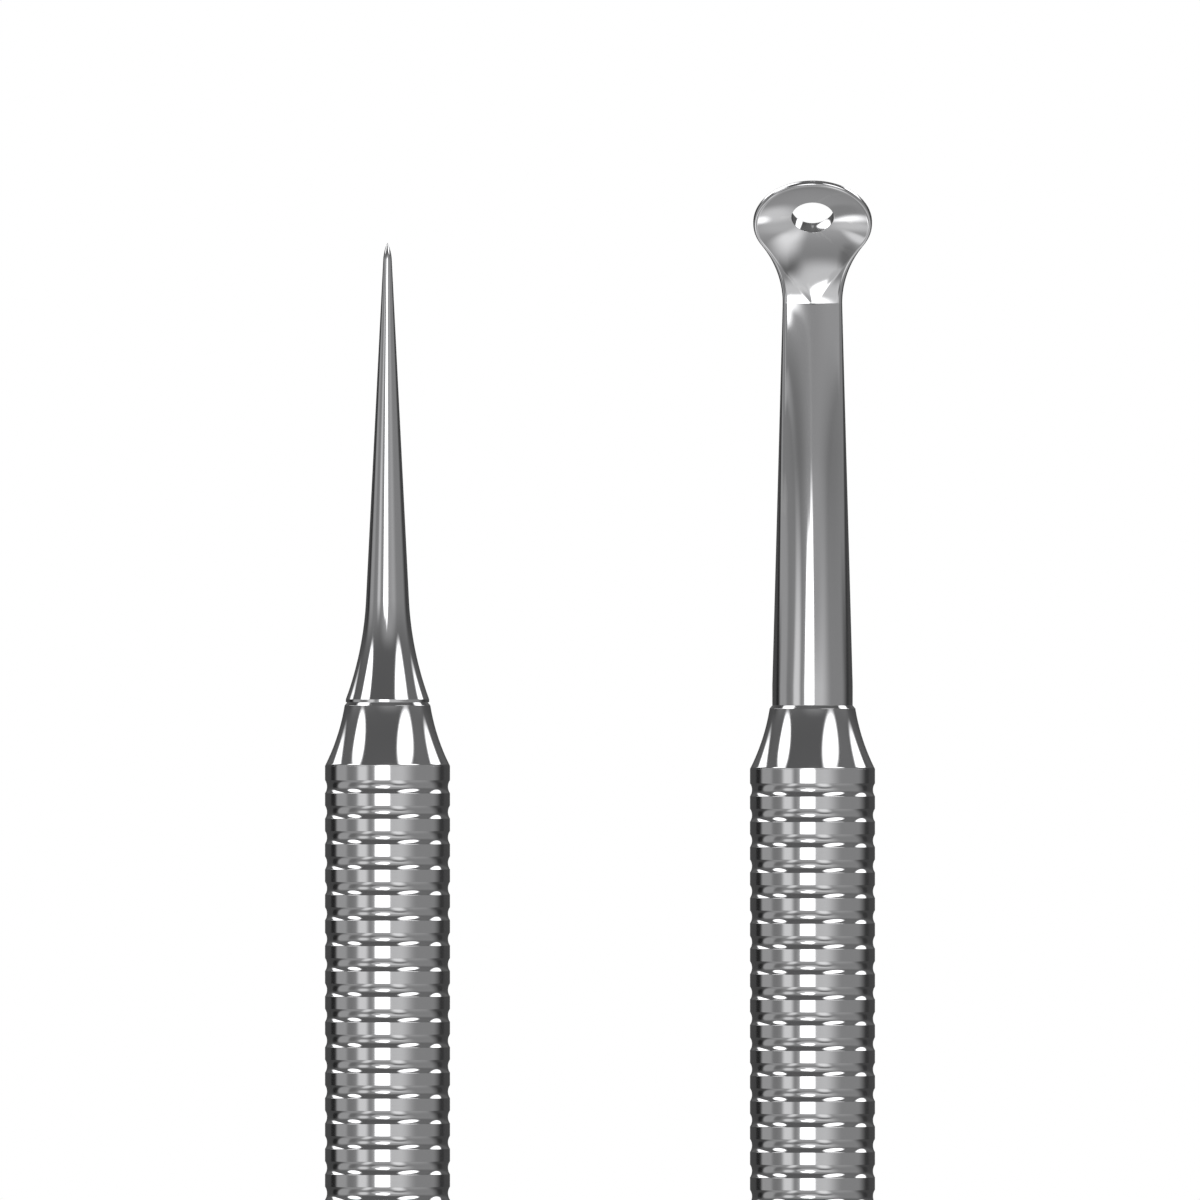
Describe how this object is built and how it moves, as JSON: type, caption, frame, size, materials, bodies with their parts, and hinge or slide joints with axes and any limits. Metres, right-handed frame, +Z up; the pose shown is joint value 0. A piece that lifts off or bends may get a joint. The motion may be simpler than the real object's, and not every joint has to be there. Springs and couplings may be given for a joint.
{
  "type": "blackhead extractor pair",
  "caption": "Pair of double-ended steel blackhead extractors: ribbed round handle with end cones, a sharp needle at one end and a bent, dished spoon with a hole at the other.",
  "frame": {"origin": "middle of the handle of the extractor that stands needle up", "axes": "+Z up along the handles, towards that extractor's needle; the spoon's face leans towards -Y; the other extractor stands beside it at +X, spoon up"},
  "size_m": [0.0352, 0.0089, 0.1344],
  "materials": {
    "handle_steel": "polished",
    "cone_steel": "polished",
    "tip_steel": "polished"
  },
  "bodies": {
    "needle_up_tool": {"needle_up_handle_tube": "handle_steel", "needle_up_needle_cone": "cone_steel", "needle_up_needle_tip": "tip_steel", "needle_up_spoon_cone": "cone_steel", "needle_up_spoon_tip": "tip_steel"},
    "spoon_up_tool": {"spoon_up_handle_tube": "handle_steel", "spoon_up_needle_cone": "cone_steel", "spoon_up_needle_tip": "tip_steel", "spoon_up_spoon_cone": "cone_steel", "spoon_up_spoon_tip": "tip_steel"}
  },
  "joints": [
    {"name": "spoon_up_lift", "type": "slide", "parent": "needle_up_tool", "child": "spoon_up_tool", "axis": [0, 0, 1], "range_m": [0, 0.14]}
  ]
}
